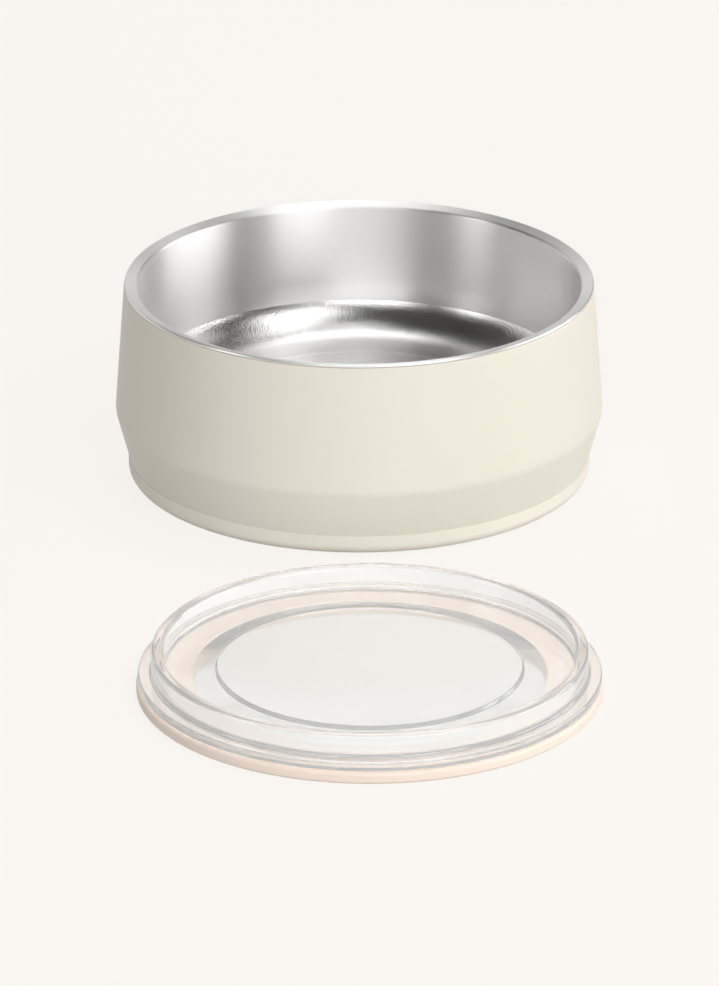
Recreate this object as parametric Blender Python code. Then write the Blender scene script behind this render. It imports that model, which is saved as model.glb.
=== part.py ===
"""A small double-wall steel feeding bowl for a cat, with its clear lid lying in front of it.

Every piece is turned about an upright axis: its half section is drawn as a list of corners
(radius, height, rounding) and spun round. Units are metres, +Z is up, and the origin is the
middle of the bowl's underside, on the surface that the bowl and the lid stand on.
"""
import math

import bmesh
import bpy
from mathutils import Vector

# Fits between pieces
FIT = 0.0003                 # gap kept between two pieces that touch
LEDGE_PLAY = 0.00065         # room between the inner wall and the shell's ledge under the rim
LID_PLAY = 0.00075           # the lid's clear flange drops into the mouth with this much room
GASKET_PLAY = 0.00035        # the gasket's soft edge, which then wedges on the narrowing wall

# Bowl
RIM_HEIGHT = 0.0596          # outer corner of the flat rim above the ground
RIM_WIDTH = 0.0038           # the rim, from the mouth to its outer side
RIM_DROP = 0.0010            # the rim slopes in: its inner corner lies this much lower
RIM_SIDE = 0.0008            # height of its bare outer side
RIM_EDGE_ROUND = 0.0004      # rounding at its outer corner
MOUTH_ROUND = 0.0008         # rounding from the rim into the wall
MOUTH_RADIUS = 0.0655        # top of the inner wall
INNER_STEEL = 0.0007         # sheet of the inner bowl
WALL_SPACE = 0.0061          # space between the two walls at the height of the floor
FLOOR_FILLET = 0.0165        # rounding between the inner wall and the floor
FLOOR_RING_RADIUS = 0.0470   # pressed ring on the floor
FLOOR_RING_RUN = 0.0012      # width of the ring's slope
FLOOR_RING_DROP = 0.00015    # how far the floor lies lower inside the ring
AIR_GAP = 0.01525            # space between the floor and the base plate

# Outer shell
SHELL_STEEL = 0.0008         # sheet of the outer shell with its coat
COAT_STEP = 0.0002           # the coat stands this much outside the bare rim
SHELL_EDGE_ROUND = 0.0005    # rounding at the coat's top edge
WIDEST_RADIUS = 0.0723       # the shell's widest line
WIDEST_HEIGHT = 0.0204       # height of that line above the ground
WIDEST_ROUND = 0.0060        # rounding along that line
BAND_RADIUS = 0.06845        # lower end of the shell's sloping band
FOOT_RADIUS = 0.0670         # the shell's foot, set back inside the boot

# Base plate and silicone boot
PLATE_STEEL = 0.0008         # sheet of the base plate
PLATE_FLANGE = 0.0030        # height of the plate's turned-up edge
PLATE_BEND = 0.0014          # rounding outside the plate's bend
BOOT_FLOOR = 0.0018          # thickness of the boot under the bowl
BOOT_WALL = 0.0013           # thickness of the boot round the shell's foot
BOOT_HEIGHT = 0.0060         # top edge of the boot above the ground
BOOT_LOWER_ROUND = 0.0030    # rounding at the boot's lower edge
BOOT_UPPER_ROUND = 0.0002    # rounding at the boot's upper edge

# Lid
LID_SHEET = 0.0024           # thickness of the clear moulding
LID_EDGE_ROUND = 0.0006      # rounding at the flange's edge
GRIP_INSET = 0.0037          # flange left outside the raised grip ring
GRIP_WIDTH = 0.0034          # thickness of the grip ring
GRIP_HEIGHT = 0.0069         # grip ring above the flange
GRIP_ROUND = 0.0012          # rounding at the grip ring's top
GRIP_ROOT_ROUND = 0.0008     # rounding where the grip ring stands on the flange
CHANNEL_WIDTH = 0.0083       # flat floor inside the grip ring
STEP_RUN = 0.0068            # width of the slope up to the middle panel
PANEL_RISE = 0.0015          # middle panel above the channel
RIB_WIDTH = 0.0024           # rib under the grip ring, which plugs into the gasket
RIB_DEPTH = 0.0018           # depth of that rib

# Gasket
GASKET_WEB = 0.0012          # silicone left under the groove for the rib
GASKET_WIDTH = 0.0156        # from the gasket's bore to its edge
GASKET_ROUND = 0.0009        # rounding at its outer edge
LID_GAP = 0.02755            # clear ground between the bowl's widest line and the lid
LID_SIDE = 0.0030            # the lid lies this much to the right of the bowl

# Facets
ROUND_STEPS = 48             # sides of every turned piece
ARC_STEP = math.radians(23)  # largest turn of an outline between two points of a rounding
SHARP_TURN = math.radians(35)  # edges that turn more than this stay sharp in the shading
MERGE_GAP = 1e-6             # points of the spun outline closer than this become one

# Sizes that follow from those above
RIM_RADIUS = MOUTH_RADIUS + RIM_WIDTH
RIM_SLOPE = RIM_DROP / RIM_WIDTH
RIM_EDGE = RIM_HEIGHT - RIM_SIDE
SHELL_TOP = RIM_EDGE - FIT
SHELL_TOP_RADIUS = RIM_RADIUS + COAT_STEP
LEDGE_RADIUS = MOUTH_RADIUS + INNER_STEEL + LEDGE_PLAY
LEDGE_DROP = RIM_SLOPE * (SHELL_TOP_RADIUS - LEDGE_RADIUS)
FOOT_TOP = BOOT_HEIGHT + FIT
FOOT_BOTTOM = BOOT_FLOOR + FIT
PLATE_TOP = FOOT_BOTTOM + PLATE_STEEL
FLOOR_TOP = PLATE_TOP + AIR_GAP + FLOOR_RING_DROP + INNER_STEEL
SIDE_LEAN = (WIDEST_RADIUS - SHELL_TOP_RADIUS) / (SHELL_TOP - WIDEST_HEIGHT)
SIDE_AT_FLOOR = WIDEST_RADIUS - SIDE_LEAN * (FLOOR_TOP - WIDEST_HEIGHT)
INNER_TAPER = MOUTH_RADIUS + INNER_STEEL + WALL_SPACE + SHELL_STEEL - SIDE_AT_FLOOR
GASKET_THICKNESS = GASKET_WEB + FIT + RIB_DEPTH
FLANGE_BOTTOM = GASKET_THICKNESS + FIT
FLANGE_TOP = FLANGE_BOTTOM + LID_SHEET
LID_RADIUS = MOUTH_RADIUS - LID_PLAY
GASKET_RADIUS = MOUTH_RADIUS - GASKET_PLAY
GRIP_RADIUS = LID_RADIUS - GRIP_INSET
GRIP_MIDDLE = GRIP_RADIUS - GRIP_WIDTH / 2
STEP_RADIUS = GRIP_RADIUS - GRIP_WIDTH - CHANNEL_WIDTH
PANEL_RADIUS = STEP_RADIUS - STEP_RUN
LID_CENTRE = Vector((LID_SIDE, -(WIDEST_RADIUS + LID_GAP + GASKET_RADIUS), 0.0))


def rounded(corners):
    """Turn corners (radius, height, rounding) into outline points, with an arc at each rounding."""
    points = []
    count = len(corners)
    for index, (x, z, rounding) in enumerate(corners):
        here = Vector((x, z))
        if rounding <= 0.0:
            points.append(here)
            continue
        last, following = corners[index - 1], corners[(index + 1) % count]
        before = Vector(last[:2]) - here
        after = Vector(following[:2]) - here
        half = before.angle(after) / 2
        room_before = before.length * (0.5 if last[2] > 0.0 else 1.0)
        room_after = after.length * (0.5 if following[2] > 0.0 else 1.0)
        reach = min(rounding / math.tan(half), room_before, room_after)
        start = here + before.normalized() * reach
        bisector = (before.normalized() + after.normalized()).normalized()
        centre = here + bisector * (reach / math.cos(half))
        turn = math.pi - 2 * half
        steps = max(1, math.ceil(turn / ARC_STEP))
        spoke = start - centre
        side = 1.0 if before.x * after.y - before.y * after.x < 0.0 else -1.0
        for step in range(steps + 1):
            angle = side * turn * step / steps
            cosine, sine = math.cos(angle), math.sin(angle)
            points.append(centre + Vector((spoke.x * cosine - spoke.y * sine,
                                           spoke.x * sine + spoke.y * cosine)))
    return points


def finish(name, colour, roughness, metallic, opacity=1.0):
    """Make one piece's material."""
    material = bpy.data.materials.new(name)
    material.use_nodes = True
    shader = material.node_tree.nodes["Principled BSDF"]
    shader.inputs["Base Color"].default_value = (*colour, 1.0)
    shader.inputs["Roughness"].default_value = roughness
    shader.inputs["Metallic"].default_value = metallic
    shader.inputs["Alpha"].default_value = opacity
    return material


def turned(name, corners, material, parent=None):
    """Spin an outline round the upright axis into one closed body.

    An outline that starts and ends on the axis makes a solid disc or cup, and any other a ring.
    """
    points = rounded(corners)
    on_axis = points[0].x == 0.0 and points[-1].x == 0.0
    shape = bmesh.new()
    ring = [shape.verts.new((point.x, 0.0, point.y)) for point in points]
    edges = [shape.edges.new(pair) for pair in zip(ring, ring[1:])]
    if not on_axis:
        edges.append(shape.edges.new((ring[-1], ring[0])))
    bmesh.ops.spin(shape, geom=ring + edges, cent=(0, 0, 0), axis=(0, 0, 1), angle=math.tau,
                   steps=ROUND_STEPS, use_merge=True)
    bmesh.ops.remove_doubles(shape, verts=shape.verts, dist=MERGE_GAP)
    bmesh.ops.recalc_face_normals(shape, faces=shape.faces)
    mesh = bpy.data.meshes.new(name)
    shape.to_mesh(mesh)
    shape.free()
    mesh.shade_smooth()
    mesh.set_sharp_from_angle(angle=SHARP_TURN)
    mesh.materials.append(material)
    piece = bpy.data.objects.new(name, mesh)
    bpy.context.scene.collection.objects.link(piece)
    piece.parent = parent
    return piece


def inner_bowl():
    """Drawn steel bowl whose flat rim is turned out over the shell's top edge and slopes in."""
    wall = MOUTH_RADIUS - INNER_TAPER
    low = FLOOR_TOP - FLOOR_RING_DROP
    slope = FLOOR_RING_RADIUS - FLOOR_RING_RUN
    steel = INNER_STEEL
    corners = [
        (0.0, low, 0.0),
        (slope, low, 0.0),
        (FLOOR_RING_RADIUS, FLOOR_TOP, 0.0),
        (wall, FLOOR_TOP, FLOOR_FILLET),
        (MOUTH_RADIUS, RIM_HEIGHT - RIM_DROP, MOUTH_ROUND),
        (RIM_RADIUS, RIM_HEIGHT, RIM_EDGE_ROUND),
        (RIM_RADIUS, RIM_EDGE, 0.0),
        (MOUTH_RADIUS + steel, RIM_EDGE - RIM_SLOPE * (RIM_WIDTH - steel), 0.0),
        (wall + steel, FLOOR_TOP - steel, FLOOR_FILLET + steel),
        (FLOOR_RING_RADIUS, FLOOR_TOP - steel, 0.0),
        (slope, low - steel, 0.0),
        (0.0, low - steel, 0.0),
    ]
    return turned("inner_bowl", corners, finish("satin_steel", (0.62, 0.61, 0.59), 0.28, 1.0))


def outer_shell():
    """Coated steel wall: ledge under the rim, sloping side, lower band and set-back foot."""
    steel = SHELL_STEEL
    corners = [
        (LEDGE_RADIUS, SHELL_TOP - LEDGE_DROP, 0.0),
        (SHELL_TOP_RADIUS, SHELL_TOP, SHELL_EDGE_ROUND),
        (WIDEST_RADIUS, WIDEST_HEIGHT, WIDEST_ROUND),
        (BAND_RADIUS, FOOT_TOP, 0.0),
        (FOOT_RADIUS, FOOT_TOP, 0.0),
        (FOOT_RADIUS, FOOT_BOTTOM, 0.0),
        (FOOT_RADIUS - steel, FOOT_BOTTOM, 0.0),
        (FOOT_RADIUS - steel, FOOT_TOP + steel, 0.0),
        (BAND_RADIUS - steel, FOOT_TOP + steel, 0.0),
        (WIDEST_RADIUS - steel, WIDEST_HEIGHT, WIDEST_ROUND - steel),
        (SHELL_TOP_RADIUS - steel, SHELL_TOP - (1.0 + RIM_SLOPE) * steel, 0.0),
        (LEDGE_RADIUS, SHELL_TOP - LEDGE_DROP - steel, 0.0),
    ]
    return turned("outer_shell", corners, finish("cream_coat", (0.80, 0.76, 0.66), 0.50, 0.0))


def base_plate():
    """Steel dish that closes the shell's foot, its edge turned up against the foot's inside."""
    edge = FOOT_RADIUS - SHELL_STEEL - FIT
    steel = PLATE_STEEL
    lip = FOOT_BOTTOM + PLATE_FLANGE
    corners = [
        (0.0, PLATE_TOP, 0.0),
        (edge - steel, PLATE_TOP, PLATE_BEND - steel),
        (edge - steel, lip, 0.0),
        (edge, lip, 0.0),
        (edge, FOOT_BOTTOM, PLATE_BEND),
        (0.0, FOOT_BOTTOM, 0.0),
    ]
    return turned("base_plate", corners, finish("plain_steel", (0.55, 0.55, 0.54), 0.40, 1.0))


def base_boot():
    """Silicone boot under the bowl, its wall gripping the shell's foot."""
    bore = FOOT_RADIUS + FIT
    edge = bore + BOOT_WALL
    corners = [
        (0.0, BOOT_FLOOR, 0.0),
        (bore, BOOT_FLOOR, 0.0),
        (bore, BOOT_HEIGHT, 0.0),
        (edge, BOOT_HEIGHT, BOOT_UPPER_ROUND),
        (edge, 0.0, BOOT_LOWER_ROUND),
        (0.0, 0.0, 0.0),
    ]
    return turned("base_boot", corners, finish("cream_silicone", (0.81, 0.76, 0.63), 0.60, 0.0))


def lid_body(lid_place):
    """Clear moulding: flange, raised grip ring, channel, slope and middle panel."""
    panel_top = FLANGE_TOP + PANEL_RISE
    panel_bottom = FLANGE_BOTTOM + PANEL_RISE
    grip_top = FLANGE_TOP + GRIP_HEIGHT
    rib_outer = GRIP_MIDDLE + RIB_WIDTH / 2
    rib_inner = GRIP_MIDDLE - RIB_WIDTH / 2
    rib_bottom = FLANGE_BOTTOM - RIB_DEPTH
    corners = [
        (0.0, panel_top, 0.0),
        (PANEL_RADIUS, panel_top, 0.0),
        (STEP_RADIUS, FLANGE_TOP, 0.0),
        (GRIP_RADIUS - GRIP_WIDTH, FLANGE_TOP, GRIP_ROOT_ROUND),
        (GRIP_RADIUS - GRIP_WIDTH, grip_top, GRIP_ROUND),
        (GRIP_RADIUS, grip_top, GRIP_ROUND),
        (GRIP_RADIUS, FLANGE_TOP, GRIP_ROOT_ROUND),
        (LID_RADIUS, FLANGE_TOP, LID_EDGE_ROUND),
        (LID_RADIUS, FLANGE_BOTTOM, LID_EDGE_ROUND),
        (rib_outer, FLANGE_BOTTOM, 0.0),
        (rib_outer, rib_bottom, 0.0),
        (rib_inner, rib_bottom, 0.0),
        (rib_inner, FLANGE_BOTTOM, 0.0),
        (STEP_RADIUS, FLANGE_BOTTOM, 0.0),
        (PANEL_RADIUS, panel_bottom, 0.0),
        (0.0, panel_bottom, 0.0),
    ]
    clear = finish("clear_plastic", (0.90, 0.90, 0.89), 0.06, 0.0, opacity=0.3)
    return turned("lid_body", corners, clear, lid_place)


def lid_gasket(lid_place):
    """Silicone ring under the lid's flange, with a groove for the lid's rib."""
    groove_outer = GRIP_MIDDLE + RIB_WIDTH / 2 + FIT
    groove_inner = GRIP_MIDDLE - RIB_WIDTH / 2 - FIT
    bore = GASKET_RADIUS - GASKET_WIDTH
    corners = [
        (bore, GASKET_THICKNESS, 0.0),
        (groove_inner, GASKET_THICKNESS, 0.0),
        (groove_inner, GASKET_WEB, 0.0),
        (groove_outer, GASKET_WEB, 0.0),
        (groove_outer, GASKET_THICKNESS, 0.0),
        (GASKET_RADIUS, GASKET_THICKNESS, GASKET_ROUND),
        (GASKET_RADIUS, 0.0, GASKET_ROUND),
        (bore, 0.0, 0.0),
    ]
    return turned("lid_gasket", corners, finish("peach_silicone", (0.92, 0.76, 0.64), 0.55, 0.0), lid_place)


def build():
    """Clear the scene and make the bowl and, on its own place beside it, the lid."""
    for old in list(bpy.data.objects):
        bpy.data.objects.remove(old, do_unlink=True)
    inner_bowl()
    outer_shell()
    base_plate()
    base_boot()
    lid_place = bpy.data.objects.new("lid_place", None)
    lid_place.location = LID_CENTRE
    bpy.context.scene.collection.objects.link(lid_place)
    lid_gasket(lid_place)
    lid_body(lid_place)


build()
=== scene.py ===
"""Looks of a double-wall steel cat bowl and its clear lid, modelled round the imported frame.

Lengths are metres, +Z is up. Every piece is turned: a half section of a few corners has its corners
rounded with a bevel and is spun round the upright axis of its body.
"""
import logging
import math
from dataclasses import dataclass
from enum import Enum

import bmesh
import bpy
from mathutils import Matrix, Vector


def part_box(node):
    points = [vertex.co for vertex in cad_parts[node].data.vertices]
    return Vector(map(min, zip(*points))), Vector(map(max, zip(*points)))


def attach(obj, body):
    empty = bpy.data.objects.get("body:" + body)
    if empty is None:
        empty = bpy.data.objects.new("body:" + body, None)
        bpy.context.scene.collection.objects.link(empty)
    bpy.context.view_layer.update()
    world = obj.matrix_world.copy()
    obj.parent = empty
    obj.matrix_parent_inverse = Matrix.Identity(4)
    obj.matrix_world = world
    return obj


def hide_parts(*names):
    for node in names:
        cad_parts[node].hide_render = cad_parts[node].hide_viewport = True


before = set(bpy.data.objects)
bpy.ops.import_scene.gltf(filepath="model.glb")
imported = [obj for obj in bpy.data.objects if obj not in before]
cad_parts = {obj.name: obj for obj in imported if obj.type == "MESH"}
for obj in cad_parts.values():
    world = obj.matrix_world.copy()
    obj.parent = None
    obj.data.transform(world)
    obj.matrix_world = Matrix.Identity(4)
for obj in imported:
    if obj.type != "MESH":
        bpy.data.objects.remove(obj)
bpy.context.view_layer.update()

LOG = logging.getLogger("cat_bowl")

MM = 0.001
ROUND_STEPS = 256
ARC_STEP = math.radians(4.5)
LEAST_SEGMENTS = 2
SHARP_TURN = math.radians(35)
MERGE_GAP = 1e-6
EDGE_SHARE = 0.98
NOISE_LOW = 0.3
NOISE_HIGH = 0.7
ORIGIN = Vector((0.0, 0.0, 0.0))


class Body(Enum):
    """The moving bodies of the part."""

    BOWL = "bowl"
    GASKET = "gasket"
    LID = "lid"


class Slot(Enum):
    """The record's material slots."""

    SATIN_STEEL = "satin_steel"
    CREAM_COAT = "cream_coat"
    PLAIN_STEEL = "plain_steel"
    CREAM_SILICONE = "cream_silicone"
    PEACH_SILICONE = "peach_silicone"
    CLEAR_PLASTIC = "clear_plastic"


Colour = tuple[float, float, float]


@dataclass(frozen=True)
class Corner:
    """One corner of a half section: its radius, its height and the rounding that it gets."""

    radius: float
    height: float
    rounding: float = 0.0


class Turning:
    """A half section that is rounded at its corners and spun into one closed body."""

    def __init__(self, corners: list[Corner]) -> None:
        """Keep the corners, in order round the section.

        Args:
            corners: the section's corners. One that starts and ends on the axis makes a disc or cup,
                and any other makes a ring.
        """
        self.corners = corners
        self.closed = corners[0].radius > 0.0

    def reach(self, index: int) -> tuple[float, int]:
        """Work out how a corner is rounded.

        Args:
            index: the corner's place in the section.

        Returns:
            How far the rounding reaches along both edges, and its number of segments.
        """
        count = len(self.corners)
        here = self.corners[index]
        sides = [self.corners[index - 1], self.corners[(index + 1) % count]]
        runs = [Vector((side.radius - here.radius, side.height - here.height)) for side in sides]
        half = runs[0].angle(runs[1]) / 2
        room = [run.length * EDGE_SHARE * here.rounding / (here.rounding + side.rounding)
                for run, side in zip(runs, sides)]
        reach = min(here.rounding / math.tan(half), *room)
        return reach, max(LEAST_SEGMENTS, math.ceil((math.pi - 2 * half) / ARC_STEP))

    def mesh(self, name: str, centre: Vector) -> bpy.types.Mesh:
        """Round the corners and spin the section.

        Args:
            name: the mesh's name.
            centre: the point on the ground that the axis stands on.

        Returns:
            The closed mesh, shaded smooth, with its place in its vertices.
        """
        shape = bmesh.new()
        points = [shape.verts.new((corner.radius, 0.0, corner.height)) for corner in self.corners]
        pairs = list(zip(points, points[1:]))
        if self.closed:
            pairs.append((points[-1], points[0]))
        for pair in pairs:
            shape.edges.new(pair)
        for index, corner in enumerate(self.corners):
            if corner.rounding > 0.0:
                reach, segments = self.reach(index)
                bmesh.ops.bevel(shape, geom=[points[index]], offset=reach, offset_type="OFFSET",
                                segments=segments, profile=0.5, affect="VERTICES",
                                clamp_overlap=False, material=-1)
        bmesh.ops.spin(shape, geom=shape.verts[:] + shape.edges[:], cent=(0.0, 0.0, 0.0),
                       axis=(0.0, 0.0, 1.0), angle=math.tau, steps=ROUND_STEPS, use_merge=True)
        bmesh.ops.remove_doubles(shape, verts=shape.verts, dist=MERGE_GAP)
        bmesh.ops.recalc_face_normals(shape, faces=shape.faces)
        bmesh.ops.translate(shape, verts=shape.verts, vec=centre)
        mesh = bpy.data.meshes.new(name)
        shape.to_mesh(mesh)
        shape.free()
        mesh.shade_smooth()
        mesh.set_sharp_from_angle(angle=SHARP_TURN)
        return mesh


def show(name: str, mesh: bpy.types.Mesh, material: bpy.types.Material) -> bpy.types.Object:
    """Put a mesh in the scene.

    Args:
        name: the piece's name.
        mesh: its mesh, in place.
        material: its finish.

    Returns:
        The piece, with its flat faces kept flat in the shading.
    """
    mesh.materials.append(material)
    piece = bpy.data.objects.new(name, mesh)
    bpy.context.scene.collection.objects.link(piece)
    weigh = piece.modifiers.new("flat_faces", "WEIGHTED_NORMAL")
    weigh.keep_sharp = True
    return piece


def stand_for(piece: bpy.types.Object, node: str, body: Body) -> None:
    """Let a piece replace a node of the frame, and report it.

    Args:
        piece: the finished piece.
        node: the node that it stands for.
        body: the body that it rides on.
    """
    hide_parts(node)
    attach(piece, body.value)
    LOG.info("%s stands for %s on %s, %d faces", piece.name, node, body.value, len(piece.data.polygons))


class Board:
    """The nodes of one material, with short ways to add and join them."""

    def __init__(self, name: str) -> None:
        """Start a material with one shader.

        Args:
            name: the material's name.
        """
        self.material = bpy.data.materials.new(name)
        self.material.use_nodes = True
        self.tree = self.material.node_tree
        self.shader = self.tree.nodes["Principled BSDF"]
        self.output = self.tree.nodes["Material Output"]

    def add(self, kind: str, **settings: object) -> bpy.types.Node:
        """Add a node and set its own properties.

        Args:
            kind: the node's type name.
            settings: the properties to set.

        Returns:
            The new node.
        """
        node = self.tree.nodes.new(kind)
        for key, value in settings.items():
            setattr(node, key, value)
        return node

    def join(self, source: bpy.types.NodeSocket, target: bpy.types.NodeSocket) -> None:
        """Join an output to an input."""
        self.tree.links.new(source, target)

    def feed(self, target: bpy.types.NodeSocket, value: object) -> None:
        """Give an input a constant or the output of another node.

        Args:
            target: the input.
            value: a number, a colour or another node's output.
        """
        if isinstance(value, bpy.types.NodeSocket):
            self.join(value, target)
        else:
            target.default_value = value

    def math(self, operation: str, first: object, second: object) -> bpy.types.NodeSocket:
        """Add a Math node.

        Args:
            operation: the node's operation.
            first: its first input, a number or an output.
            second: its second input, a number or an output.

        Returns:
            The result.
        """
        node = self.add("ShaderNodeMath", operation=operation)
        self.feed(node.inputs[0], first)
        self.feed(node.inputs[1], second)
        return node.outputs[0]

    def place(self, centre: Vector) -> bpy.types.NodeSocket:
        """Object coordinates, centred on a body's axis.

        Args:
            centre: the point on the ground that the axis stands on.

        Returns:
            The coordinates.
        """
        source = self.add("ShaderNodeTexCoord")
        mapping = self.add("ShaderNodeMapping")
        mapping.inputs["Location"].default_value = -centre
        self.join(source.outputs["Object"], mapping.inputs["Vector"])
        return mapping.outputs["Vector"]

    def noise(self, vector: bpy.types.NodeSocket, size: float, detail: float = 2.0) -> bpy.types.NodeSocket:
        """Add a noise pattern.

        Args:
            vector: the coordinates that it reads.
            size: the size of its spots, in metres.
            detail: how many finer layers it has.

        Returns:
            Its value, from 0 to 1.
        """
        node = self.add("ShaderNodeTexNoise")
        node.inputs["Scale"].default_value = 1.0 / size
        node.inputs["Detail"].default_value = detail
        self.join(vector, node.inputs["Vector"])
        return node.outputs["Fac"]

    def span(self, value: bpy.types.NodeSocket, low: float, high: float) -> bpy.types.NodeSocket:
        """Spread a noise pattern's value over a range.

        Args:
            value: the pattern's value.
            low: what its low end gives.
            high: what its high end gives.

        Returns:
            The spread value.
        """
        node = self.add("ShaderNodeMapRange")
        self.join(value, node.inputs["Value"])
        for name, number in (("From Min", NOISE_LOW), ("From Max", NOISE_HIGH),
                             ("To Min", low), ("To Max", high)):
            node.inputs[name].default_value = number
        return node.outputs["Result"]

    def tint(self, value: bpy.types.NodeSocket, first: Colour, second: Colour) -> bpy.types.NodeSocket:
        """Mix two colours.

        Args:
            value: the share of the second colour.
            first: the first colour.
            second: the second colour.

        Returns:
            The mixed colour.
        """
        node = self.add("ShaderNodeMix", data_type="RGBA")
        self.join(value, node.inputs["Factor"])
        node.inputs["A"].default_value = (*first, 1.0)
        node.inputs["B"].default_value = (*second, 1.0)
        return node.outputs["Result"]

    def bump(self, height: bpy.types.NodeSocket, distance: float,
             under: bpy.types.NodeSocket | None = None) -> bpy.types.NodeSocket:
        """Turn a height into a normal.

        Args:
            height: the height, from 0 to 1.
            distance: the height of 1, in metres.
            under: the normal of a bump below this one.

        Returns:
            The normal.
        """
        node = self.add("ShaderNodeBump")
        node.inputs["Distance"].default_value = distance
        self.join(height, node.inputs["Height"])
        if under is not None:
            self.join(under, node.inputs["Normal"])
        return node.outputs["Normal"]

    def set(self, **values: float) -> None:
        """Set the shader's constant inputs, named with underscores for blanks."""
        for key, value in values.items():
            self.shader.inputs[key.replace("_", " ").title().replace("Ior", "IOR")].default_value = value


@dataclass(frozen=True)
class SpunSteel:
    """Steel that is brushed round and round: fine rings that draw each reflection out up and down."""

    light: Colour = (0.91, 0.905, 0.895)
    dark: Colour = (0.87, 0.865, 0.855)
    roughness: float = 0.42
    spread: float = 0.02
    ring_size: float = 0.00022
    ring_run: float = 0.02
    cloud_size: float = 0.02
    layers: float = 3.0
    directional: float = 0.9
    quarter_turn: float = 0.25

    def material(self, name: str) -> bpy.types.Material:
        """Make the finish.

        Args:
            name: the material's name.

        Returns:
            The material.
        """
        board = Board(name)
        place = board.place(ORIGIN)
        parts = board.add("ShaderNodeSeparateXYZ")
        board.join(place, parts.inputs[0])
        flat = board.add("ShaderNodeVectorMath", operation="MULTIPLY")
        board.join(place, flat.inputs[0])
        flat.inputs[1].default_value = (1.0, 1.0, 0.0)
        radius = board.add("ShaderNodeVectorMath", operation="LENGTH")
        board.join(flat.outputs["Vector"], radius.inputs[0])
        along = board.math("ADD", radius.outputs["Value"], parts.outputs["Z"])
        stretch = self.ring_size / self.ring_run
        rings_at = board.add("ShaderNodeCombineXYZ")
        board.join(board.math("MULTIPLY", parts.outputs["X"], stretch), rings_at.inputs["X"])
        board.join(board.math("MULTIPLY", parts.outputs["Y"], stretch), rings_at.inputs["Y"])
        board.join(along, rings_at.inputs["Z"])
        rings = board.noise(rings_at.outputs["Vector"], self.ring_size, detail=self.layers)
        clouds = board.noise(place, self.cloud_size, detail=self.layers)
        rough = board.span(rings, self.roughness - self.spread, self.roughness + self.spread)
        board.join(rough, board.shader.inputs["Roughness"])
        board.join(board.tint(clouds, self.light, self.dark), board.shader.inputs["Base Color"])
        tangent = board.add("ShaderNodeTangent", direction_type="RADIAL", axis="Z")
        board.join(tangent.outputs["Tangent"], board.shader.inputs["Tangent"])
        board.set(metallic=1.0, anisotropic=self.directional, anisotropic_rotation=self.quarter_turn)
        return board.material


@dataclass(frozen=True)
class BlastedSteel:
    """Steel with a fine blasted grain, which breaks up the edges of its reflections."""

    light: Colour = (0.91, 0.905, 0.895)
    dark: Colour = (0.87, 0.865, 0.855)
    roughness: float = 0.22
    spread: float = 0.03
    grain_size: float = 0.0005
    grain_height: float = 0.00007
    cloud_size: float = 0.02
    cloud_layers: float = 3.0

    def material(self, name: str) -> bpy.types.Material:
        """Make the finish.

        Args:
            name: the material's name.

        Returns:
            The material.
        """
        board = Board(name)
        place = board.place(ORIGIN)
        grain = board.noise(place, self.grain_size)
        clouds = board.noise(place, self.cloud_size, detail=self.cloud_layers)
        rough = board.span(grain, self.roughness - self.spread, self.roughness + self.spread)
        board.join(rough, board.shader.inputs["Roughness"])
        board.join(board.tint(clouds, self.light, self.dark), board.shader.inputs["Base Color"])
        board.join(board.bump(grain, self.grain_height), board.shader.inputs["Normal"])
        board.set(metallic=1.0)
        return board.material


@dataclass(frozen=True)
class PowderCoat:
    """Satin powder coat: a fine orange-peel skin with a faint mottle."""

    light: Colour = (0.815, 0.770, 0.675)
    dark: Colour = (0.790, 0.745, 0.650)
    roughness: float = 0.42
    spread: float = 0.05
    peel_size: float = 0.0009
    peel_height: float = 0.000004
    speck_size: float = 0.00022
    speck_height: float = 0.000003
    speck_layers: float = 1.0
    cloud_size: float = 0.03
    cloud_layers: float = 4.0
    shine: float = 0.4

    def material(self, name: str) -> bpy.types.Material:
        """Make the finish.

        Args:
            name: the material's name.

        Returns:
            The material.
        """
        board = Board(name)
        place = board.place(ORIGIN)
        peel = board.noise(place, self.peel_size)
        specks = board.noise(place, self.speck_size, detail=self.speck_layers)
        clouds = board.noise(place, self.cloud_size, detail=self.cloud_layers)
        board.join(board.tint(clouds, self.light, self.dark), board.shader.inputs["Base Color"])
        rough = board.span(specks, self.roughness - self.spread, self.roughness + self.spread)
        board.join(rough, board.shader.inputs["Roughness"])
        peeled = board.bump(peel, self.peel_height)
        board.join(board.bump(specks, self.speck_height, under=peeled), board.shader.inputs["Normal"])
        board.set(specular_ior_level=self.shine)
        return board.material


@dataclass(frozen=True)
class Silicone:
    """Moulded silicone: matt, with a soft skin and a faint bloom."""

    light: Colour
    dark: Colour
    centre: Vector
    roughness: float = 0.55
    spread: float = 0.07
    skin_size: float = 0.0006
    skin_height: float = 0.000008
    cloud_size: float = 0.012
    cloud_layers: float = 3.0

    def material(self, name: str) -> bpy.types.Material:
        """Make the finish.

        Args:
            name: the material's name.

        Returns:
            The material.
        """
        board = Board(name)
        place = board.place(self.centre)
        skin = board.noise(place, self.skin_size)
        clouds = board.noise(place, self.cloud_size, detail=self.cloud_layers)
        board.join(board.tint(clouds, self.light, self.dark), board.shader.inputs["Base Color"])
        rough = board.span(clouds, self.roughness - self.spread, self.roughness + self.spread)
        board.join(rough, board.shader.inputs["Roughness"])
        board.join(board.bump(skin, self.skin_height), board.shader.inputs["Normal"])
        return board.material


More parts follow.
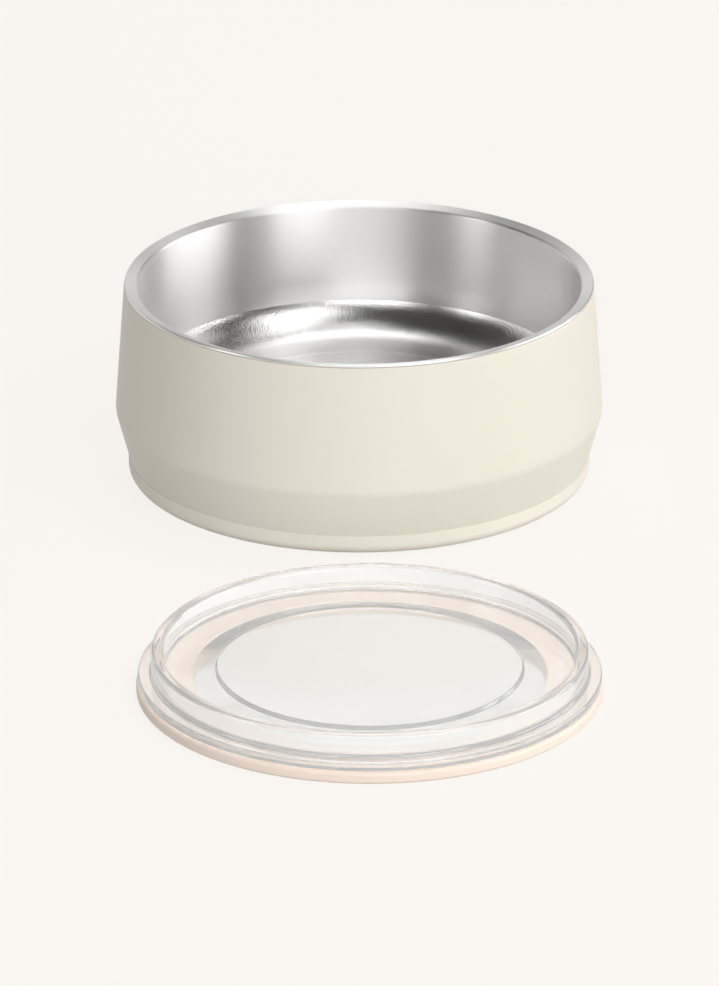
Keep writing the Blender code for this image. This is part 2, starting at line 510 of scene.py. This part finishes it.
@dataclass(frozen=True)
class ClearPlastic:
    """Clear moulded plastic with a polished skin, faint flow waves and fine wipe marks."""

    centre: Vector
    light: Colour = (0.915, 0.920, 0.918)
    dark: Colour = (0.895, 0.900, 0.898)
    clearness: float = 0.82
    ior: float = 1.45
    roughness: float = 0.07
    spread: float = 0.02
    wave_size: float = 0.02
    wave_height: float = 0.000012
    wave_layers: float = 1.0
    mark_size: float = 0.0005

    def material(self, name: str) -> bpy.types.Material:
        """Make the finish; lamps shine through it.

        Args:
            name: the material's name.

        Returns:
            The material.
        """
        board = Board(name)
        place = board.place(self.centre)
        waves = board.noise(place, self.wave_size, detail=self.wave_layers)
        marks = board.noise(place, self.mark_size)
        board.join(board.tint(waves, self.light, self.dark), board.shader.inputs["Base Color"])
        rough = board.span(marks, self.roughness - self.spread, self.roughness + self.spread)
        board.join(rough, board.shader.inputs["Roughness"])
        board.join(board.bump(waves, self.wave_height), board.shader.inputs["Normal"])
        board.set(transmission_weight=self.clearness, ior=self.ior)
        path = board.add("ShaderNodeLightPath")
        through = board.add("ShaderNodeBsdfTransparent")
        through.inputs["Color"].default_value = (*self.light, 1.0)
        mix = board.add("ShaderNodeMixShader")
        board.join(path.outputs["Is Shadow Ray"], mix.inputs["Fac"])
        board.join(board.shader.outputs["BSDF"], mix.inputs[1])
        board.join(through.outputs["BSDF"], mix.inputs[2])
        board.join(mix.outputs["Shader"], board.output.inputs["Surface"])
        return board.material


@dataclass
class Bowl:
    """The bowl: a drawn steel inside with a flat rim, a coated shell, a closing plate and a boot."""

    centre: Vector
    rim_radius: float
    foot_bottom: float
    boot_height: float
    boot_radius: float
    fit: float = 0.3 * MM
    inner_steel: float = 0.7 * MM
    rim_height: float = 59.6 * MM
    rim_width: float = 3.8 * MM
    rim_drop: float = 1.0 * MM
    rim_side: float = 0.8 * MM
    rim_edge_round: float = 0.4 * MM
    mouth_round: float = 0.8 * MM
    wall_foot: float = 64.8 * MM
    floor_top: float = 19.0 * MM
    floor_fillet: float = 16.5 * MM
    ring_radius: float = 47.0 * MM
    ring_run: float = 1.2 * MM
    ring_drop: float = 0.15 * MM
    ring_round: float = 0.8 * MM
    blast_line: float = 29.3 * MM
    cut_round: float = 0.15 * MM
    shell_steel: float = 0.8 * MM
    ledge_play: float = 0.65 * MM
    coat_step: float = 0.2 * MM
    coat_round: float = 0.5 * MM
    widest_radius: float = 72.3 * MM
    widest_height: float = 20.4 * MM
    widest_round: float = 6.0 * MM
    band_radius: float = 68.45 * MM
    foot_radius: float = 67.0 * MM
    seam: float = 0.06 * MM
    plate_steel: float = 0.8 * MM
    plate_flange: float = 3.0 * MM
    plate_bend: float = 1.4 * MM
    boot_floor: float = 1.8 * MM
    boot_lower_round: float = 3.0 * MM
    boot_upper_round: float = 0.2 * MM
    plate_light: Colour = (0.60, 0.60, 0.59)
    plate_dark: Colour = (0.52, 0.52, 0.51)
    plate_roughness: float = 0.38
    boot_light: Colour = (0.875, 0.825, 0.725)
    boot_dark: Colour = (0.850, 0.800, 0.700)

    @classmethod
    def from_frame(cls) -> "Bowl":
        """Take the bowl's main sizes from the frame.

        Returns:
            The bowl.
        """
        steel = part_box("inner_bowl")
        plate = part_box("base_plate")
        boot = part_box("base_boot")
        return cls(centre=ORIGIN, rim_radius=steel[1].x, foot_bottom=plate[0].z,
                   boot_height=boot[1].z, boot_radius=boot[1].x)

    def steel_bowl(self) -> Turning:
        """Section of the drawn steel bowl, from the floor's middle over the rim and back beneath.

        Returns:
            The section.
        """
        steel = self.inner_steel
        mouth = self.rim_radius - self.rim_width
        edge = self.rim_height - self.rim_side
        under = edge - self.rim_drop * (1.0 - steel / self.rim_width)
        low = self.floor_top - self.ring_drop
        ring = self.ring_radius
        inside = ring - self.ring_run
        return Turning([
            Corner(0.0, low),
            Corner(inside, low, self.ring_round),
            Corner(ring, self.floor_top, self.ring_round),
            Corner(self.wall_foot, self.floor_top, self.floor_fillet),
            Corner(mouth, self.rim_height - self.rim_drop, self.mouth_round),
            Corner(self.rim_radius, self.rim_height, self.rim_edge_round),
            Corner(self.rim_radius, edge, self.cut_round),
            Corner(mouth + steel, under),
            Corner(self.wall_foot + steel, self.floor_top - steel, self.floor_fillet + steel),
            Corner(ring, self.floor_top - steel),
            Corner(inside, low - steel),
            Corner(0.0, low - steel),
        ])

    def coated_shell(self) -> Turning:
        """Section of the coated shell: ledge under the rim, flared side, lower band and set-back foot.

        Returns:
            The section.
        """
        steel = self.shell_steel
        slope = self.rim_drop / self.rim_width
        ledge = self.rim_radius - self.rim_width + self.inner_steel + self.ledge_play
        top = self.rim_height - self.rim_side - self.seam
        top_radius = self.rim_radius + self.coat_step
        ledge_top = top - slope * (top_radius - ledge)
        foot_top = self.boot_height + self.seam
        return Turning([
            Corner(ledge, ledge_top),
            Corner(top_radius, top, self.coat_round),
            Corner(self.widest_radius, self.widest_height, self.widest_round),
            Corner(self.band_radius, foot_top),
            Corner(self.foot_radius, foot_top),
            Corner(self.foot_radius, self.foot_bottom),
            Corner(self.foot_radius - steel, self.foot_bottom),
            Corner(self.foot_radius - steel, foot_top + steel),
            Corner(self.band_radius - steel, foot_top + steel),
            Corner(self.widest_radius - steel, self.widest_height, self.widest_round - steel),
            Corner(top_radius - steel, top - (1.0 + slope) * steel),
            Corner(ledge, ledge_top - steel),
        ])

    def closing_plate(self) -> Turning:
        """Section of the steel dish that closes the shell's foot.

        Returns:
            The section.
        """
        steel = self.plate_steel
        edge = self.foot_radius - self.shell_steel - self.fit
        lip = self.foot_bottom + self.plate_flange
        return Turning([
            Corner(0.0, self.foot_bottom + steel),
            Corner(edge - steel, self.foot_bottom + steel, self.plate_bend - steel),
            Corner(edge - steel, lip, self.cut_round),
            Corner(edge, lip, self.cut_round),
            Corner(edge, self.foot_bottom, self.plate_bend),
            Corner(0.0, self.foot_bottom),
        ])

    def boot(self) -> Turning:
        """Section of the silicone boot under the bowl and round its foot.

        Returns:
            The section.
        """
        bore = self.foot_radius + self.fit
        return Turning([
            Corner(0.0, self.boot_floor),
            Corner(bore, self.boot_floor),
            Corner(bore, self.boot_height, self.cut_round),
            Corner(self.boot_radius, self.boot_height, self.boot_upper_round),
            Corner(self.boot_radius, 0.0, self.boot_lower_round),
            Corner(0.0, 0.0),
        ])

    def blast(self, mesh: bpy.types.Mesh, material: bpy.types.Material) -> None:
        """Give the steel bowl's floor its own finish, up to the line on its lower wall.

        Args:
            mesh: the steel bowl's mesh.
            material: the floor's finish.
        """
        mesh.materials.append(material)
        for face in mesh.polygons:
            face.material_index = int(face.center.z < self.blast_line)

    def build(self) -> None:
        """Make the bowl's pieces and dress them."""
        satin = SpunSteel().material("satin_steel")
        blasted = BlastedSteel().material("blasted_steel")
        plain = BlastedSteel(light=self.plate_light, dark=self.plate_dark,
                             roughness=self.plate_roughness).material("plain_steel")
        coat = PowderCoat().material("cream_coat")
        silicone = Silicone(light=self.boot_light, dark=self.boot_dark,
                            centre=self.centre).material("cream_silicone")
        for name, section, material, node, slot in (
                ("steel_bowl", self.steel_bowl(), satin, "inner_bowl", Slot.SATIN_STEEL),
                ("coated_shell", self.coated_shell(), coat, "outer_shell", Slot.CREAM_COAT),
                ("closing_plate", self.closing_plate(), plain, "base_plate", Slot.PLAIN_STEEL),
                ("silicone_boot", self.boot(), silicone, "base_boot", Slot.CREAM_SILICONE)):
            piece = show(name, section.mesh(name, self.centre), material)
            if material is satin:
                self.blast(piece.data, blasted)
            stand_for(piece, node, Body.BOWL)


@dataclass
class Lid:
    """The lid: a clear moulding with a raised grip ring, and a silicone gasket under its flange."""

    centre: Vector
    lid_radius: float
    gasket_radius: float
    gasket_top: float
    grip_top: float
    fit: float = 0.3 * MM
    sheet: float = 2.4 * MM
    edge_round: float = 0.6 * MM
    grip_inset: float = 3.7 * MM
    grip_width: float = 3.4 * MM
    grip_round: float = 1.2 * MM
    root_round: float = 0.8 * MM
    channel: float = 8.3 * MM
    slope_run: float = 6.2 * MM
    slope_rise: float = 0.5 * MM
    riser_run: float = 0.6 * MM
    panel_rise: float = 1.5 * MM
    panel_round: float = 0.35 * MM
    rib_width: float = 2.4 * MM
    rib_depth: float = 1.8 * MM
    gasket_width: float = 15.6 * MM
    gasket_web: float = 1.2 * MM
    gasket_round: float = 0.9 * MM
    gasket_light: Colour = (0.95, 0.81, 0.71)
    gasket_dark: Colour = (0.93, 0.78, 0.67)

    @classmethod
    def from_frame(cls) -> "Lid":
        """Take the lid's place and main sizes from the frame.

        Returns:
            The lid.
        """
        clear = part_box("lid_body")
        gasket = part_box("lid_gasket")
        middle = (gasket[0] + gasket[1]) / 2
        return cls(centre=Vector((middle.x, middle.y, 0.0)), lid_radius=(clear[1].x - clear[0].x) / 2,
                   gasket_radius=(gasket[1].x - gasket[0].x) / 2, gasket_top=gasket[1].z, grip_top=clear[1].z)

    def clear_lid(self) -> Turning:
        """Section of the clear moulding, from the panel's middle out to the flange and back beneath.

        Returns:
            The section.
        """
        bottom = self.gasket_top + self.fit
        top = bottom + self.sheet
        grip = self.lid_radius - self.grip_inset
        inner = grip - self.grip_width
        step = inner - self.channel
        riser = step - self.slope_run
        panel = riser - self.riser_run
        middle = grip - self.grip_width / 2
        rib = self.rib_width / 2
        return Turning([
            Corner(0.0, top + self.panel_rise),
            Corner(panel, top + self.panel_rise, self.panel_round),
            Corner(riser, top + self.slope_rise, self.panel_round),
            Corner(step, top, self.root_round),
            Corner(inner, top, self.root_round),
            Corner(inner, self.grip_top, self.grip_round),
            Corner(grip, self.grip_top, self.grip_round),
            Corner(grip, top, self.root_round),
            Corner(self.lid_radius, top, self.edge_round),
            Corner(self.lid_radius, bottom, self.edge_round),
            Corner(middle + rib, bottom),
            Corner(middle + rib, bottom - self.rib_depth, self.panel_round),
            Corner(middle - rib, bottom - self.rib_depth, self.panel_round),
            Corner(middle - rib, bottom),
            Corner(step, bottom, self.root_round),
            Corner(panel, bottom + self.panel_rise, self.root_round),
            Corner(0.0, bottom + self.panel_rise),
        ])

    def gasket(self) -> Turning:
        """Section of the silicone ring, with its groove for the lid's rib.

        Returns:
            The section.
        """
        middle = self.lid_radius - self.grip_inset - self.grip_width / 2
        groove = self.rib_width / 2 + self.fit
        bore = self.gasket_radius - self.gasket_width
        return Turning([
            Corner(bore, self.gasket_top, self.panel_round),
            Corner(middle - groove, self.gasket_top),
            Corner(middle - groove, self.gasket_web),
            Corner(middle + groove, self.gasket_web),
            Corner(middle + groove, self.gasket_top),
            Corner(self.gasket_radius, self.gasket_top, self.gasket_round),
            Corner(self.gasket_radius, 0.0, self.gasket_round),
            Corner(bore, 0.0, self.panel_round),
        ])

    def build(self) -> None:
        """Make the lid's pieces and dress them."""
        clear = ClearPlastic(centre=self.centre).material("clear_plastic")
        peach = Silicone(light=self.gasket_light, dark=self.gasket_dark,
                         centre=self.centre).material("peach_silicone")
        for name, section, material, node, body, slot in (
                ("peach_gasket", self.gasket(), peach, "lid_gasket", Body.GASKET, Slot.PEACH_SILICONE),
                ("clear_lid", self.clear_lid(), clear, "lid_body", Body.LID, Slot.CLEAR_PLASTIC)):
            piece = show(name, section.mesh(name, self.centre), material)
            stand_for(piece, node, body)


def heading(azimuth: float, elevation: float) -> Vector:
    """Direction from the object towards a place in the room.

    Args:
        azimuth: degrees from +Y towards +X.
        elevation: degrees above the ground.

    Returns:
        The unit direction.
    """
    around = math.radians(azimuth)
    up = math.radians(elevation)
    return Vector((math.sin(around) * math.cos(up), math.cos(around) * math.cos(up), math.sin(up)))


@dataclass(frozen=True)
class Lamp:
    """A soft box: where it stands round the object, its size and how bright its face is.

    Its azimuth is measured from +Y towards +X.
    """

    name: str
    azimuth: float
    elevation: float
    width: float
    height: float
    radiance: float
    distance: float = 1.6

    def build(self, focus: Vector) -> None:
        """Put the lamp in the scene.

        Args:
            focus: the point that it faces.
        """
        light = bpy.data.lights.new(self.name, "AREA")
        light.shape = "RECTANGLE"
        light.size = self.width
        light.size_y = self.height
        light.energy = self.radiance * math.pi * self.width * self.height
        lamp = bpy.data.objects.new(self.name, light)
        out = heading(self.azimuth, self.elevation)
        lamp.location = focus + out * self.distance
        lamp.rotation_euler = (-out).to_track_quat("-Z", "Y").to_euler()
        lamp.visible_camera = False
        bpy.context.scene.collection.objects.link(lamp)


@dataclass
class Studio:
    """Plain pale floor, soft boxes, a dim room and the camera at the photograph's angle."""

    ground: Colour = (0.972, 0.948, 0.909)
    bounce: Colour = (0.34, 0.335, 0.32)
    glow: float = 0.88
    floor_size: float = 30.0
    room_light: float = 0.04
    horizon_light: float = 0.6
    horizon_top: float = math.sin(math.radians(7.0))
    horizon_low: float = math.sin(math.radians(4.0))
    focus: Vector = Vector((0.0, -0.05, 0.03))
    target: Vector = Vector((0.1 * MM, 0.0, -8.35 * MM))
    pitch: float = math.radians(22.2)
    distance: float = 2.388
    sensor: float = 36.0
    focal_pixels: float = 8000.0
    frame_height: int = 986
    lamps: tuple[Lamp, ...] = (
        Lamp("right_box", azimuth=82.0, elevation=10.0, width=1.40, height=0.56, radiance=5.0),
        Lamp("right_mid", azimuth=60.0, elevation=30.0, width=1.00, height=0.56, radiance=0.7),
        Lamp("key_low", azimuth=149.0, elevation=8.0, width=0.91, height=0.51, radiance=6.0),
        Lamp("key_high", azimuth=135.0, elevation=50.0, width=1.12, height=0.68, radiance=1.75),
        Lamp("front_low", azimuth=192.0, elevation=8.0, width=1.41, height=0.45, radiance=0.9),
        Lamp("front_mid", azimuth=186.0, elevation=23.0, width=1.18, height=0.56, radiance=3.2),
        Lamp("left_box", azimuth=245.0, elevation=12.0, width=0.50, height=0.68, radiance=3.6),
        Lamp("left_back", azimuth=308.0, elevation=10.0, width=1.15, height=0.51, radiance=1.0),
        Lamp("back_low", azimuth=0.0, elevation=20.0, width=1.03, height=0.56, radiance=0.9),
        Lamp("back_mid", azimuth=0.0, elevation=42.0, width=1.56, height=0.62, radiance=0.45),
        Lamp("side_high", azimuth=100.0, elevation=68.0, width=0.86, height=0.51, radiance=1.4),
        Lamp("back_high", azimuth=0.0, elevation=67.0, width=0.78, height=0.62, radiance=3.2),
        Lamp("top", azimuth=0.0, elevation=89.0, width=0.25, height=0.74, radiance=1.5),
    )

    def floor(self) -> None:
        """Lay the floor: it shows the plain ground to the eye, in metal and through the clear lid.

        A small share of that is matt and takes the object's shadow. To all other light it is a grey
        card, which throws little up at the object.
        """
        shape = bmesh.new()
        bmesh.ops.create_grid(shape, x_segments=1, y_segments=1, size=self.floor_size / 2)
        mesh = bpy.data.meshes.new("floor")
        shape.to_mesh(mesh)
        shape.free()
        board = Board("ground")
        board.tree.nodes.remove(board.shader)
        matt = board.add("ShaderNodeBsdfDiffuse")
        shine = board.add("ShaderNodeEmission")
        shine.inputs["Color"].default_value = (*self.ground, 1.0)
        path = board.add("ShaderNodeLightPath")
        seen = board.math("MAXIMUM", path.outputs["Is Camera Ray"], path.outputs["Is Glossy Ray"])
        seen = board.math("MAXIMUM", seen, path.outputs["Is Transmission Ray"])
        board.join(board.tint(seen, self.bounce, self.ground), matt.inputs["Color"])
        mix = board.add("ShaderNodeMixShader")
        board.join(board.math("MULTIPLY", seen, self.glow), mix.inputs["Fac"])
        board.join(matt.outputs["BSDF"], mix.inputs[1])
        board.join(shine.outputs["Emission"], mix.inputs[2])
        board.join(mix.outputs["Shader"], board.output.inputs["Surface"])
        mesh.materials.append(board.material)
        floor = bpy.data.objects.new("floor", mesh)
        bpy.context.scene.collection.objects.link(floor)

    def room(self) -> None:
        """Light the room: dim all round, with a pale wall low behind the floor."""
        world = bpy.data.worlds.new("room")
        bpy.context.scene.world = world
        world.use_nodes = True
        tree = world.node_tree
        background = tree.nodes["Background"]
        way = tree.nodes.new("ShaderNodeTexCoord")
        parts = tree.nodes.new("ShaderNodeSeparateXYZ")
        tree.links.new(way.outputs["Generated"], parts.inputs[0])
        spread = tree.nodes.new("ShaderNodeMapRange")
        spread.interpolation_type = "SMOOTHSTEP"
        for name, number in (("From Min", self.horizon_low), ("From Max", self.horizon_top),
                             ("To Min", self.horizon_light), ("To Max", self.room_light)):
            spread.inputs[name].default_value = number
        tree.links.new(parts.outputs["Z"], spread.inputs["Value"])
        background.inputs["Color"].default_value = (*self.ground, 1.0)
        tree.links.new(spread.outputs["Result"], background.inputs["Strength"])

    def camera(self) -> None:
        """Set up the camera."""
        lens = bpy.data.cameras.new("camera")
        lens.sensor_width = self.sensor
        lens.lens = self.focal_pixels * self.sensor / self.frame_height
        lens.clip_end = self.floor_size
        eye = bpy.data.objects.new("camera", lens)
        back = Vector((0.0, -math.cos(self.pitch), math.sin(self.pitch)))
        eye.location = self.target + self.distance * back
        eye.rotation_euler = (math.pi / 2 - self.pitch, 0.0, 0.0)
        bpy.context.scene.collection.objects.link(eye)
        bpy.context.scene.camera = eye

    def build(self) -> None:
        """Set up the camera, floor, room and lamps."""
        self.camera()
        self.floor()
        self.room()
        for lamp in self.lamps:
            lamp.build(self.focus)
        bpy.context.scene.view_settings.view_transform = "Standard"


def main() -> None:
    """Build the studio, the bowl and the lid."""
    logging.basicConfig(level=logging.INFO, format="%(name)s: %(message)s")
    Studio().build()
    Bowl.from_frame().build()
    Lid.from_frame().build()


if __name__ == "__main__":
    main()
